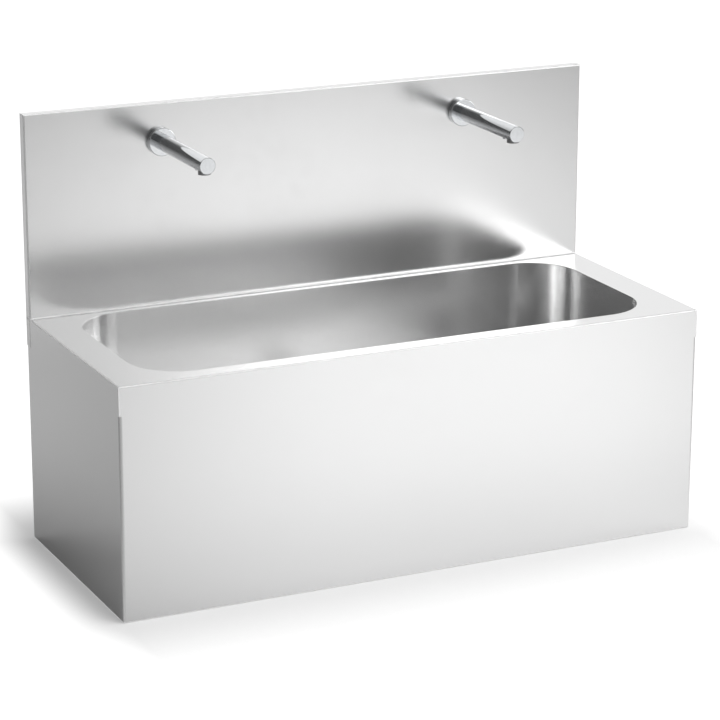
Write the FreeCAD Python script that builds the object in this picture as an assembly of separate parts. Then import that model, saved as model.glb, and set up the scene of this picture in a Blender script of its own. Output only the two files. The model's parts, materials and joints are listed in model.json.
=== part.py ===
"""Wall-mounted stainless steel hand wash sink with a splashback and two sensor spouts.

Millimetres. X runs to the right as seen from the front, Y runs back to the wall, Z is up.
The origin is the middle of the footprint at the level of the skirt's bottom edge.
"""
import FreeCAD, Part
import math
import os

V = FreeCAD.Vector

# ---------------------------------------------------------------- body and sheet metal
body_width = 1200.0          # overall length along the wall
body_depth = 500.0           # from the wall to the front face
body_height = 450.0          # from the bottom edge to the deck
sheet = 1.5                  # folded sheet of deck, skirt and splashback
bowl_sheet = 1.2             # drawn sheet of the bowl
deck_edge = 55.0             # height of the deck's folded edge
deck_fold = 3.0              # outside radius of the deck's folds
rear_edge = 40.0             # height of the deck's rear flange
rim_round = 1.0              # rounded top edge of the basin opening
cove = 3.0                   # weld cove between deck and splashback
splash_height = 400.0        # splashback above the deck
splash_depth = 20.0          # depth of the splashback tray
splash_fold = 3.0            # outside radius of the splashback's folds
skirt_front_bend = 6.0       # outside radius of the skirt's front corners
skirt_rear_bend = 5.0        # outside radius of the skirt's rear corners
skirt_bottom_fold = 3.0      # outside radius of the skirt's bottom fold
skirt_bottom_return = 20.0   # width of the skirt's bottom return
skirt_rear_return = 30.0     # width of the skirt's rear returns

# ---------------------------------------------------------------- basin bowl
basin_front_margin = 40.0    # opening to the front face
basin_rear_margin = 40.0     # opening to the wall
basin_end_margin = 70.0      # opening to the body's sides
basin_corner = 100.0         # corner radius of the opening
basin_depth = 180.0          # deck to the edge of the floor
floor_fall = 8.0             # fall of the floor to the waste
floor_cove = 25.0            # radius between walls and floor
rim_width = 12.0             # bowl rim welded under the deck
waste_seat = 46.0            # half width of the flat seat round the waste
waste_seat_corner = 45.5     # corner radius of that seat

# ---------------------------------------------------------------- stiffening and damping
brace_drop = 75.0            # upright leg of the joint angles
brace_rim_gap = 5.5          # front joint angle's level leg to the bowl's rim
brace_side_leg = 40.0        # level leg of the side joint angles
brace_bend = 3.0             # outside radius of the joint angles
brace_end_gap = 10.0         # from the angles' ends to the sheet at the corners
pad_length = 760.0           # sound pads on the bowl's long walls
pad_height = 100.0
pad_thickness = 3.0
pad_below_deck = 40.0

# ---------------------------------------------------------------- wall hanging
rail_length = 560.0          # rail screwed to the wall
rail_sheet = 3.0
rail_bend = 1.0              # inside radius of the rail's and the hook's bends
rail_bottom_below_deck = 52.0
rail_height = 54.0
rail_lip_height = 23.0       # upturned lip that carries the sink
rail_lip_gap = 6.5           # between the lip and the rail's wall leg
hook_lip_clearance = 1.0     # between the hook's down leg and the rail's wall leg
hook_drop = 17.0             # length of the hook's down leg
rail_hole = 4.5              # radius of the wall screw holes
rail_hole_spacing = 480.0
rail_hole_below_top = 15.0
side_hole_low = 40.0         # height of the lower wall screw holes in the rear returns
side_hole_high = 45.0        # upper wall screw holes below the skirt's top edge

# ---------------------------------------------------------------- spouts
tap_spacing = 650.0          # between the two spouts
tap_height = 325.0           # spout axis above the deck
spout_reach = 240.0          # splashback to the spout's end face
spout_radius = 16.0
spout_bore = 13.5
sleeve_length = 69.0         # rear part, from the splashback to the seam
seam_width = 0.6
spigot_length = 15.0         # sleeve spigot inside the spout tube
spigot_clearance = 0.1
end_cap_thickness = 4.0
end_cap_chamfer = 0.9
end_cap_spigot = 4.0
tap_flange_radius = 27.5
tap_flange_depth = 12.0
tap_flange_wall = 2.0
tap_flange_edge = 1.5        # rounded front edge
tap_flange_gap = 0.1         # between the flange and the sleeve
tap_seal_thickness = 1.0
tap_seal_radius = 26.0
shank_radius = 11.0
shank_bore = 7.0
shank_clearance = 0.5        # shank in the splashback's hole
backnut_flats = 27.0
backnut_thickness = 6.0
aerator_radius = 12.0
aerator_bore = 9.0
aerator_setback = 16.5       # behind the end face
aerator_drop = 2.5           # below the spout
aerator_height = 10.0
aerator_gap = 0.1            # round the aerator in the spout
aerator_recess = 5.0         # depth of the outlet's recess
aerator_holes = 8
aerator_hole_radius = 1.5
aerator_hole_pitch = 4.5
lens_radius = 6.0
lens_setback = 46.0          # behind the end face
lens_thickness = 4.0
lens_proud = 0.4
lens_gap = 0.05              # round the lens in the spout

# ---------------------------------------------------------------- pipes behind the splashback
elbow_left_width = 11.0      # elbow block on the pipe's outer side
elbow_right_width = 17.0     # elbow block on the cable's side
elbow_half_height = 17.0
elbow_wall_gap = 0.5         # between the elbow block and the wall
elbow_nut_gap = 0.5
shank_in_elbow = 5.0
pipe_radius = 5.0            # supply pipes to the spouts
pipe_wall = 1.0
pipe_in_socket = 5.0
pipe_wall_offset = 6.0       # wall to the pipe's axis behind the splashback
jog_top_below_deck = 50.0    # supply pipes step forward here
jog_length = 60.0
pipe_bend = 450.0            # largest bend radius of the supply pipes
cable_bend = 300.0           # largest bend radius of cables and leads
cable_radius = 2.0
cable_offset = 12.0          # sensor cable beside the supply pipe
cable_wall_offset = 7.0

# ---------------------------------------------------------------- service panel and water group
service_offset = 22.0        # wall to the axis of the water group
panel_below_outlet = 70.0    # panel's bottom below the axis of the waste outlet
panel_above_outlet = 85.0
panel_side_gap = 8.0         # panel's ends to the body's sides
panel_fold_depth = 12.0
panel_screw_inset = 19.0     # from the body's sides
panel_screw_edge = 25.0      # from the panel's top and bottom
panel_screw_radius = 2.5
panel_screw_head = 5.0
panel_screw_head_height = 3.5
panel_screw_head_round = 1.75
screw_clearance = 0.25
notch_width = 60.0           # notches in the panel's top fold for pipes and cables
supply_above_outlet = 40.0   # axis of stop valves and mixing valve above the waste outlet
mixer_from_spout = 125.0     # mixing valve to the right spout
mixer_radius = 17.0
mixer_bore = 13.0
mixer_length = 84.0
mixer_end_wall = 1.5
mixer_port_radius = 12.0
mixer_port_length = 8.0
mixer_foot_width = 30.0
mixer_foot_height = 24.0
mixer_neck_radius = 13.0
mixer_neck_length = 9.0
mixer_outlet_radius = 10.5
mixer_outlet_length = 16.0
knob_radius = 20.0
knob_length = 24.0
knob_gap = 1.0
knob_flutes = 12
knob_flute_radius = 3.0
knob_flute_offset = 1.5      # flute's axis outside the knob's surface
knob_skirt = 6.0             # plain rear part without flutes
knob_edge = 1.5              # rounded front edge
knob_stem_radius = 5.0
stem_clearance = 0.06        # running clearance of stems and plungers
union_flats = 27.0
union_length = 13.0
union_gap = 1.5              # between the mixing valve's body and the union nuts
valve_spread = 80.0          # stop valves on each side of the mixing valve
thread_radius = 10.48        # half inch pipe thread
thread_length = 14.0
valve_hex_flats = 25.0
valve_hex_length = 12.0
valve_body_radius = 11.5
valve_body_length = 19.0
bonnet_radius = 8.5
bonnet_length = 7.0
valve_bore = 6.0
outlet_radius = 7.5
outlet_bore = 5.5
lever_stem_radius = 4.0
lever_hub_radius = 8.0
lever_hub_length = 9.0
lever_gap = 2.0
lever_length = 46.0
lever_width = 10.0
lever_thickness = 4.0
inlet_hole = 20.0            # panel hole round the supply threads
branch_radius = 7.5          # distribution pipe
branch_wall = 1.0
branch_below_outlet = 50.0
branch_bend = 22.0
tee_radius = 9.5
tee_half_length = 14.0
clip_width = 16.0
clip_wall = 3.0
clip_left = -200.0           # clip under the control box
clip_near_mixer = 70.0       # clip between mixing valve and right spout
clip_past_mixer = 130.0      # clip on the other side of the mixing valve

# ---------------------------------------------------------------- solenoid valves
solenoid_below_outlet = 20.0
solenoid_above_outlet = 30.0
solenoid_radius = 13.0
socket_depth = 10.0
socket_gap = 0.05            # pipes in their sockets
solenoid_bonnet_radius = 14.0
solenoid_bonnet_reach = 25.0     # valve axis to the bonnet's face
guide_radius = 6.0
guide_end_wall = 3.0
plunger_radius = 4.0
plunger_length = 26.0
plunger_travel = 2.5
plunger_end_gap = 1.5        # left in front of the plunger when it is open
coil_radius = 15.0
coil_length = 28.0
coil_clearance = 0.1
coil_block_width = 12.0      # lead block on the coil's underside
coil_block_height = 16.0
coil_block_setback = 7.0     # from the coil's rear end

# ---------------------------------------------------------------- control box
control_left = -250.0
control_width = 140.0
control_below_outlet = 30.0
control_height = 100.0
control_depth = 36.0
control_wall = 2.5
control_corner = 4.0
lid_thickness = 3.0
lid_lip = 3.0
lid_lip_clearance = 0.2
cable_exit_drop = 6.0        # sensor cables below the box's top
lead_drop = 3.5              # coil leads above the panel's bottom fold
lead_entry = 70.0            # coil leads along the box's bottom
lead_pitch = 8.0             # between the two coil leads at the box

# ---------------------------------------------------------------- waste and trap
waste_radius = 23.9          # one and a half inch waste thread
waste_bore = 20.5
waste_length = 52.0
waste_flange_radius = 35.0
waste_flange_thickness = 3.0
waste_flange_edge = 1.0      # chamfer of the flange
waste_hole_clearance = 0.6
seal_thickness = 2.0
seal_outer = 34.0
seal_inner = 24.6
strainer_radius = 30.0
strainer_thickness = 1.5
strainer_inset = 0.3         # strainer below the flange's face
strainer_fit = 0.2
strainer_inner_holes = 6
strainer_inner_pitch = 9.0   # pitch radius of the inner ring of holes
strainer_inner_hole = 2.75
strainer_outer_holes = 12
strainer_outer_pitch = 16.2
strainer_outer_hole = 2.4
bar_width = 8.0              # cross bar that holds the strainer's screw
bar_root = 1.0               # bar's ends inside the waste body's wall
bar_height = 8.0
bar_below_strainer = 10.0
strainer_screw_radius = 3.0
strainer_screw_head = 5.0
strainer_screw_head_height = 1.2
strainer_screw_edge = 1.0    # chamfer of the head
backnut_waste_flats = 60.0
backnut_waste_height = 10.0
thread_gap = 0.1
outlet_below_waste = 82.0    # axis of the waste outlet below the waste body's end
waste_pipe_radius = 20.0
waste_pipe_wall = 1.8
collar_radius = 23.4
collar_thickness = 2.0
slip_nut_radius = 30.0
slip_nut_length = 18.0
slip_nut_lip = 5.0
slip_nut_groove_count = 10
slip_nut_groove_radius = 2.5
slip_nut_groove_offset = 1.0     # groove's axis outside the nut's surface
slip_fit = 0.2
trap_radius = 32.0
trap_wall = 3.0
trap_shoulder = 6.0          # rounded shoulder
trap_above_outlet = 30.0
trap_below_outlet = 56.0
trap_neck_length = 16.0
trap_side_neck = 20.0        # side neck beyond the trap's body
cup_overlap = 16.0
cup_depth = 26.0
cup_bottom_radius = 18.0
cup_edge_drop = 9.0          # height of the cup's upright wall below the trap body
cup_inner_rise = 1.0         # inner corners above and inside the outer ones
cup_groove_count = 12
cup_groove_radius = 2.0
cup_groove_offset = 1.0
cup_collar = 1.0             # plain edge under the grooves
dip_below_outlet = 68.0      # lower end of the inlet tube
mark_from_wall = 35.0        # ring mark on the outlet pipe for its depth in the wall socket
mark_width = 1.0
mark_depth = 0.3
panel_waste_hole = 35.0

# ---------------------------------------------------------------- splashback bolts
bolt_radius = 3.0
bolt_head_flats = 10.0
bolt_head_height = 4.0
bolt_nut_height = 5.0
bolt_length = 14.0
bolt_below_deck = 22.0
bolt_inset = (60.0, 200.0)   # from the body's sides

# ---------------------------------------------------------------- places that follow from the sizes
wall_y = body_depth / 2
front_y = -body_depth / 2
side_x = body_width / 2
basin_half = side_x - basin_end_margin
basin_front = front_y + basin_front_margin
basin_rear = wall_y - basin_rear_margin
basin_y = (basin_front + basin_rear) / 2
seam_z = body_height - deck_edge
splash_y = wall_y - splash_depth
top_z = body_height + splash_height
tap_z = body_height + tap_height
spout_end_y = splash_y - spout_reach
tray_y = splash_y + sheet
service_y = wall_y - service_offset
panel_y = wall_y - sheet - sheet
floor_z = body_height - basin_depth
sink_z = floor_z - floor_fall
under_z = sink_z - bowl_sheet
waste_end = sink_z + seal_thickness - waste_length
outlet_height = waste_end - outlet_below_waste
supply_height = outlet_height + supply_above_outlet
branch_height = outlet_height - branch_below_outlet
panel_bottom = outlet_height - panel_below_outlet
panel_top = outlet_height + panel_above_outlet
solenoid_bottom = outlet_height - solenoid_below_outlet
solenoid_top = outlet_height + solenoid_above_outlet
control_bottom = outlet_height - control_below_outlet
mixer_x = tap_spacing / 2 - mixer_from_spout
guide_length = plunger_length + plunger_travel + plunger_end_gap + guide_end_wall
margin = 5.0                 # overrun of cutting tools


# ---------------------------------------------------------------- helpers
def save(name, shape):
    """Check a node's solids and write them to its file."""
    shape = shape.removeSplitter()
    if not shape.isValid() or not shape.Solids:
        raise ValueError(name + " is not a valid solid")
    shape.exportStep("parts/" + name + ".step")
    print("%-26s %2d solid  %9.1f cm3" % (name, len(shape.Solids), shape.Volume / 1000))


def block(x0, x1, y0, y1, z0, z1):
    """Box between two corners."""
    return Part.makeBox(x1 - x0, y1 - y0, z1 - z0, V(x0, y0, z0))


def round_x(y, z, radius, x0, x1):
    """Cylinder along X."""
    return Part.makeCylinder(radius, x1 - x0, V(x0, y, z), V(1, 0, 0))


def round_y(x, z, radius, y0, y1):
    """Cylinder along Y."""
    return Part.makeCylinder(radius, y1 - y0, V(x, y0, z), V(0, 1, 0))


def round_z(x, y, radius, z0, z1):
    """Cylinder along Z."""
    return Part.makeCylinder(radius, z1 - z0, V(x, y, z0), V(0, 0, 1))


def rounded_outline(points, radii):
    """Closed wire through 3-D points whose corners are replaced by tangent arcs of the given radii."""
    count = len(points)
    ends = []
    for i in range(count):
        corner = points[i]
        before = points[i - 1] - corner
        after = points[(i + 1) % count] - corner
        angle = before.getAngle(after)
        radius = radii[i]
        if radius <= 0:
            ends.append((corner, None, corner))
            continue
        reach = radius / math.tan(angle / 2)
        before.normalize()
        after.normalize()
        middle = before + after
        middle.normalize()
        crown = corner + middle * (radius / math.sin(angle / 2) - radius)
        ends.append((corner + before * reach, crown, corner + after * reach))
    edges = []
    for i in range(count):
        start, crown, finish = ends[i]
        if crown is not None:
            edges.append(Part.Arc(start, crown, finish).toShape())
        following = ends[(i + 1) % count][0]
        if finish.distanceToPoint(following) > 1e-6:
            edges.append(Part.LineSegment(finish, following).toShape())
    return Part.Wire(edges)


def plan_outline(half_x, y0, y1, z, front_radius, rear_radius):
    """Rounded rectangle in plan, with its own radii at the front and at the rear."""
    points = [V(-half_x, y0, z), V(half_x, y0, z), V(half_x, y1, z), V(-half_x, y1, z)]
    return rounded_outline(points, [front_radius, front_radius, rear_radius, rear_radius])


def plan_prism(half_x, y0, y1, z0, z1, front_radius, rear_radius):
    """Upright prism over a rounded rectangle."""
    face = Part.Face(plan_outline(half_x, y0, y1, z0, front_radius, rear_radius))
    return face.extrude(V(0, 0, z1 - z0))


def edges_where(shape, test):
    """Edges whose every vertex and middle point pass a test."""
    found = []
    for edge in shape.Edges:
        first, last = edge.ParameterRange
        samples = [edge.valueAt(first), edge.valueAt((first + last) / 2), edge.valueAt(last)]
        if all(test(p) for p in samples):
            found.append(edge)
    return found


def near(a, b):
    """True for two lengths that are the same."""
    return abs(a - b) < 1e-4


def bent_strip(spine, thickness, inner_radius, place, run):
    """Folded profile: a strip on the left of a 2-D spine, with rounded bends, extruded along a vector.

    place turns a 2-D point into a 3-D one.
    """
    normals = []
    for i in range(len(spine) - 1):
        du = spine[i + 1][0] - spine[i][0]
        dv = spine[i + 1][1] - spine[i][1]
        size = math.hypot(du, dv)
        normals.append((-dv / size, du / size))
    left = []
    radii_right = []
    radii_left = []
    for i, (u, v) in enumerate(spine):
        before = normals[max(i - 1, 0)]
        after = normals[min(i, len(normals) - 1)]
        scale = thickness / (1 + before[0] * after[0] + before[1] * after[1])
        left.append((u + (before[0] + after[0]) * scale, v + (before[1] + after[1]) * scale))
        inside = 0 < i < len(spine) - 1
        turn = before[0] * after[1] - before[1] * after[0]
        outer = inner_radius + thickness
        radii_right.append((outer if turn > 0 else inner_radius) if inside else 0)
        radii_left.append((inner_radius if turn > 0 else outer) if inside else 0)
    points = [place(*p) for p in spine + left[::-1]]
    face = Part.Face(rounded_outline(points, radii_right + radii_left[::-1]))
    return face.extrude(run)


def turned(profile, axis_point, direction):
    """Solid of revolution from (radius, distance along the axis) corners."""
    side = V(1, 0, 0) if abs(direction.x) < 0.5 else V(0, 0, 1)
    points = [axis_point + side * r + direction * s for r, s in profile]
    face = Part.Face(Part.makePolygon(points + points[:1]))
    return face.revolve(axis_point, direction, 360)


def hexagon(axis_point, direction, flats, length):
    """Hexagonal prism along an axis, measured across its flats."""
    side = V(0, 0, 1) if abs(direction.z) < 0.5 else V(1, 0, 0)
    other = direction.cross(side)
    radius = flats / math.sqrt(3)
    points = []
    for i in range(7):
        angle = math.radians(60 * i)
        points.append(axis_point + side * (radius * math.cos(angle)) + other * (radius * math.sin(angle)))
    return Part.Face(Part.makePolygon(points)).extrude(direction * length)


def round_about(tool, count, axis_point, direction):
    """Copies of a tool turned about an axis at equal steps."""
    copies = []
    for i in range(count):
        copy = tool.copy()
        copy.rotate(axis_point, direction, 360.0 * i / count)
        copies.append(copy)
    return Part.makeCompound(copies)


def routed_path(points, largest):
    """Straight runs joined by tangent arcs: 0.45 of the shorter run over the tangent of half the turn."""
    edges = []
    start = points[0]
    for i in range(1, len(points) - 1):
        back = points[i - 1] - points[i]
        ahead = points[i + 1] - points[i]
        shorter = min(back.Length, ahead.Length)
        turn = math.pi - back.getAngle(ahead)
        radius = min(0.45 * shorter / math.tan(turn / 2), largest)
        reach = radius * math.tan(turn / 2)
        back.normalize()
        ahead.normalize()
        middle = back + ahead
        middle.normalize()
        crown = points[i] + middle * (radius / math.cos(turn / 2) - radius)
        entry = points[i] + back * reach
        leave = points[i] + ahead * reach
        edges.append(Part.LineSegment(start, entry).toShape())
        edges.append(Part.Arc(entry, crown, leave).toShape())
        start = leave
    edges.append(Part.LineSegment(start, points[-1]).toShape())
    return Part.Wire(edges)


def routed_tube(points, radius, largest, bore=0.0):
    """Round tube or cable along a routed path; prints its smallest bend and checks its volume."""
    path = routed_path(points, largest)
    bends = [edge.Curve.Radius for edge in path.Edges if hasattr(edge.Curve, "Radius")]

    def sweep(r):
        ring = Part.Wire(Part.makeCircle(r, points[0], points[1] - points[0]))
        return path.makePipeShell([ring], True, False)

    tube = sweep(radius)
    expected = math.pi * radius ** 2 * path.Length
    print("   route %.0f long, least bend %.0f, volume ratio %.4f"
          % (path.Length, min(bends) if bends else 0, tube.Volume / expected))
    return tube.cut(sweep(bore)) if bore else tube


# ---------------------------------------------------------------- sheet metal
def make_deck():
    """Top plate with folded edges, the basin opening and the weld cove at the splashback."""
    def top_folds(x, y, z):
        return edges_where(shape, lambda p: near(p.z, z) and (near(abs(p.x), x) or near(p.y, y)))

    shape = block(-side_x, side_x, front_y, splash_y, seam_z, body_height)
    outer = shape.makeFillet(deck_fold, top_folds(side_x, front_y, body_height))
    shape = block(-side_x + sheet, side_x - sheet, front_y + sheet, splash_y - sheet,
                  seam_z - margin, body_height - sheet)
    inner_folds = top_folds(side_x - sheet, front_y + sheet, body_height - sheet)
    inner = shape.makeFillet(deck_fold - sheet, inner_folds)
    deck = outer.cut(inner)
    deck = deck.cut(block(-side_x + sheet, side_x - sheet, splash_y - 2 * sheet, splash_y + margin,
                          seam_z - margin, body_height - rear_edge))
    opening = plan_prism(basin_half, basin_front, basin_rear, seam_z,
                         body_height + margin, basin_corner, basin_corner)
    deck = deck.cut(opening)
    rim = edges_where(deck, lambda p: near(p.z, body_height) and abs(p.x) < basin_half + margin
                      and basin_front - margin < p.y < basin_rear + margin)
    deck = deck.makeFillet(rim_round, rim)
    bead = block(-side_x + splash_fold, side_x - splash_fold, splash_y - cove, splash_y,
                 body_height, body_height + cove)
    bead = bead.cut(round_x(splash_y - cove, body_height + cove, cove, -side_x, side_x))
    deck = deck.fuse(bead)
    for x in bolt_places():
        deck = deck.cut(round_y(x, body_height - bolt_below_deck, bolt_radius + screw_clearance,
                                splash_y - margin, splash_y + margin))
    save("deck_top", deck)


def make_splashback():
    """Folded tray that stands on the wall, open to the wall and at its lower edge."""
    def front_folds(x, y, z):
        return edges_where(shape, lambda p: near(p.y, y) and (near(abs(p.x), x) or near(p.z, z)))

    shape = block(-side_x, side_x, splash_y, wall_y, seam_z, top_z)
    outer = shape.makeFillet(splash_fold, front_folds(side_x, splash_y, top_z))
    shape = block(-side_x + sheet, side_x - sheet, tray_y, wall_y + margin, seam_z - margin, top_z - sheet)
    inner = shape.makeFillet(splash_fold - sheet, front_folds(side_x - sheet, tray_y, top_z - sheet))
    tray = outer.cut(inner)
    for side in (-1, 1):
        tray = tray.cut(round_y(side * tap_spacing / 2, tap_z, shank_radius + shank_clearance,
                                splash_y - margin, tray_y + margin))
    for x in bolt_places():
        tray = tray.cut(round_y(x, body_height - bolt_below_deck, bolt_radius + screw_clearance,
                                splash_y - margin, tray_y + margin))
    save("splashback", tray)


def skirt_volume(inset, bottom, top):
    """Solid inside the skirt's outline, moved in by a distance, with its bottom edge rounded."""
    shape = plan_prism(side_x - inset, front_y + inset, wall_y - inset, bottom, top,
                       skirt_front_bend - inset, skirt_rear_bend - inset)
    edges = edges_where(shape, lambda p: near(p.z, bottom))
    return shape.makeFillet(skirt_bottom_fold - inset, edges)


def make_skirt():
    """U-shaped front and side panel with a bottom return and rear returns at the wall."""
    skirt = skirt_volume(0.0, 0.0, seam_z).cut(skirt_volume(sheet, sheet, seam_z + margin))
    skirt = skirt.cut(block(-side_x + skirt_bottom_return, side_x - skirt_bottom_return,
                            front_y + skirt_bottom_return, wall_y - 2 * sheet, -margin, 2 * sheet))
    skirt = skirt.cut(block(-side_x + skirt_rear_return, side_x - skirt_rear_return,
                            wall_y - 3 * sheet, wall_y + margin, -margin, seam_z + margin))
    for x in (-side_x + skirt_rear_return / 2, side_x - skirt_rear_return / 2):
        for z in (side_hole_low, seam_z - side_hole_high):
            skirt = skirt.cut(round_y(x, z, rail_hole, wall_y - margin, wall_y + margin))
    for x, z in panel_screw_places():
        skirt = skirt.cut(round_y(x, z, panel_screw_radius + screw_clearance,
                                  wall_y - sheet - margin, wall_y + margin))
    save("apron_skirt", skirt)


def basin_volume(grow):
    """Space of the bowl, grown outwards by a sheet: upright walls, cove, and a floor that falls inwards."""
    half_x = basin_half + grow
    front = basin_front - grow
    rear = basin_rear + grow
    corner = basin_corner + grow
    shape = plan_prism(half_x, front, rear, floor_z - grow, body_height - sheet, corner, corner)
    bottom = edges_where(shape, lambda p: near(p.z, floor_z - grow))
    walls = shape.makeFillet(floor_cove + grow, bottom)
    inset = floor_cove + grow
    upper = plan_outline(half_x - inset, front + inset, rear - inset, floor_z - grow,
                         corner - inset, corner - inset)
    lower = plan_outline(waste_seat, basin_y - waste_seat, basin_y + waste_seat, sink_z - grow,
                         waste_seat_corner, waste_seat_corner)
    funnel = Part.makeLoft([lower, upper], True, True)
    return walls.fuse(funnel)


def make_bowl():
    """Deep bowl with a rim under the deck and a hole for the waste."""
    rim_corner = basin_corner + rim_width
    rim = plan_prism(basin_half + rim_width, basin_front - rim_width, basin_rear + rim_width,
                     body_height - sheet - bowl_sheet, body_height - sheet, rim_corner, rim_corner)
    bowl = basin_volume(bowl_sheet).fuse(rim).cut(basin_volume(0.0))
    bowl = bowl.cut(round_z(0, basin_y, waste_radius + waste_hole_clearance, under_z - margin, floor_z))
    save("basin_bowl", bowl)


def make_stiffening():
    """Angles behind the joint of deck edge and skirt, and damping pads on the bowl."""
    high = body_height - sheet
    low = high - brace_drop
    inside = brace_bend - sheet
    y = front_y + sheet
    leg_end = basin_front - rim_width - brace_rim_gap
    half = side_x - sheet - brace_end_gap
    spine = [(leg_end, high), (y, high), (y, low)]
    front = bent_strip(spine, sheet, inside, lambda u, v: V(-half, u, v), V(2 * half, 0, 0))
    save("front_joint_angle", front)
    x = side_x - sheet
    start = leg_end + brace_end_gap
    finish = splash_y - sheet - brace_end_gap
    spine = [(-x + brace_side_leg, high), (-x, high), (-x, low)]
    left = bent_strip(spine, sheet, inside, lambda u, v: V(u, start, v), V(0, finish - start, 0))
    right = left.mirror(V(0, 0, 0), V(1, 0, 0))
    save("side_joint_angles", Part.makeCompound([left, right]))
    top = body_height - pad_below_deck
    pads = []
    for y0 in (basin_front - bowl_sheet - pad_thickness, basin_rear + bowl_sheet):
        pads.append(block(-pad_length / 2, pad_length / 2, y0, y0 + pad_thickness, top - pad_height, top))
    save("sound_pads", Part.makeCompound(pads))


def make_hanging():
    """Rail for the wall and the hook on the splashback that hangs on the rail's lip."""
    half = rail_length / 2
    bottom = body_height - rail_bottom_below_deck
    top = bottom + rail_height
    lip_y = wall_y - rail_sheet - rail_lip_gap - rail_sheet
    lip_z = bottom + rail_lip_height
    spine = [(lip_y, lip_z), (lip_y, bottom), (wall_y, bottom), (wall_y, top)]
    rail = bent_strip(spine, rail_sheet, rail_bend, lambda u, v: V(-half, u, v), V(2 * half, 0, 0))
    for side in (-1, 1):
        rail = rail.cut(round_y(side * rail_hole_spacing / 2, top - rail_hole_below_top, rail_hole,
                                wall_y - margin - rail_sheet, wall_y + margin))
    save("wall_rail", rail)
    roof = lip_z + rail_sheet
    leg_y = wall_y - rail_sheet - hook_lip_clearance
    spine = [(leg_y, lip_z - hook_drop), (leg_y, roof), (tray_y, roof), (tray_y, bottom)]
    hook = bent_strip(spine, rail_sheet, rail_bend, lambda u, v: V(-half, u, v), V(2 * half, 0, 0))
    save("hanger_hook", hook)


def bolt_places():
    """X of the bolts that join deck and splashback."""
    places = []
    for inset in bolt_inset:
        places += [-side_x + inset, side_x - inset]
    return places


def make_splashback_bolts():
    """Hexagon bolts through the deck's rear flange and the splashback, and their nuts."""
    z = body_height - bolt_below_deck
    seat = splash_y - sheet
    bolts = []
    nuts = []
    for x in bolt_places():
        head = hexagon(V(x, seat - bolt_head_height, z), V(0, 1, 0), bolt_head_flats, bolt_head_height)
        bolts.append(head.fuse(round_y(x, z, bolt_radius, seat - bolt_head_height, seat + bolt_length)))
        nut = hexagon(V(x, tray_y, z), V(0, 1, 0), bolt_head_flats, bolt_nut_height)
        nuts.append(nut.cut(round_y(x, z, bolt_radius, tray_y - margin, tray_y + bolt_nut_height + margin)))
    save("splashback_bolts", Part.makeCompound(bolts))
    save("splashback_nuts", Part.makeCompound(nuts))


def panel_screw_places():
    """X and Z of the service panel's screws."""
    x = side_x - panel_screw_inset
    heights = (panel_bottom + panel_screw_edge, panel_top - panel_screw_edge)
    return [(side * x, z) for side in (-1, 1) for z in heights]


def make_service_panel():
    """Folded panel between the skirt's rear returns that carries the water group and the control box."""
    half = side_x - panel_side_gap
    face = wall_y - sheet
    fold = face - panel_fold_depth
    spine = [(fold, panel_bottom), (face, panel_bottom), (face, panel_top), (fold, panel_top)]
    panel = bent_strip(spine, sheet, sheet, lambda u, v: V(-half, u, v), V(2 * half, 0, 0))
    behind = (face - 2 * sheet, face + margin)
    panel = panel.cut(round_y(0, outlet_height, panel_waste_hole, *behind))
    for side in (-1, 1):
        panel = panel.cut(round_y(mixer_x + side * valve_spread, supply_height, inlet_hole, *behind))
        x = side * (tap_spacing / 2 + cable_offset / 2)
        panel = panel.cut(block(x - notch_width / 2, x + notch_width / 2, fold - margin, face - sheet,
                                panel_top - 3 * sheet, panel_top + margin))
    screws = []
    for x, z in panel_screw_places():
        panel = panel.cut(round_y(x, z, panel_screw_radius + screw_clearance, *behind))
        crown_y = panel_y - panel_screw_head_height
        head = round_y(x, z, panel_screw_head, crown_y, panel_y)
        head = head.makeFillet(panel_screw_head_round, edges_where(head, lambda p: near(p.y, crown_y)))
        screws.append(head.fuse(round_y(x, z, panel_screw_radius, panel_y, wall_y)))
    save("service_panel", panel)
    save("panel_screws", Part.makeCompound(screws))


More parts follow.
